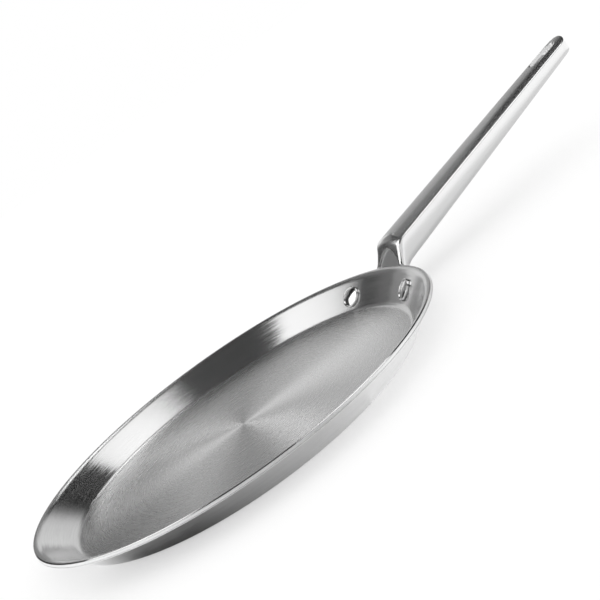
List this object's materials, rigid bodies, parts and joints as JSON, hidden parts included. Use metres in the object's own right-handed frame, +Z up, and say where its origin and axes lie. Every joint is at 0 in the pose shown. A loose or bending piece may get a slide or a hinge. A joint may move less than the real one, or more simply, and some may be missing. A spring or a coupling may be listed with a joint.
{
  "type": "pancake pan",
  "caption": "Shallow round clad steel pan with a wide flat floor, a low flared wall and a long riveted cast handle with a hanging slot.",
  "frame": {"origin": "middle of the flat underside of the dish", "axes": "+X from the middle of the dish along the handle, +Z up out of the open dish, +Y to the left of the handle"},
  "size_m": [0.4215, 0.24, 0.0565],
  "materials": {
    "cooking_steel": "satin",
    "core_aluminium": "satin",
    "outer_steel": "polished",
    "handle_steel": "polished",
    "rivet_steel": "polished"
  },
  "bodies": {
    "root": {"inner_ply": "cooking_steel", "core_ply": "core_aluminium", "outer_ply": "outer_steel", "handle": "handle_steel", "rivet_left": "rivet_steel", "rivet_right": "rivet_steel"}
  },
  "joints": []
}
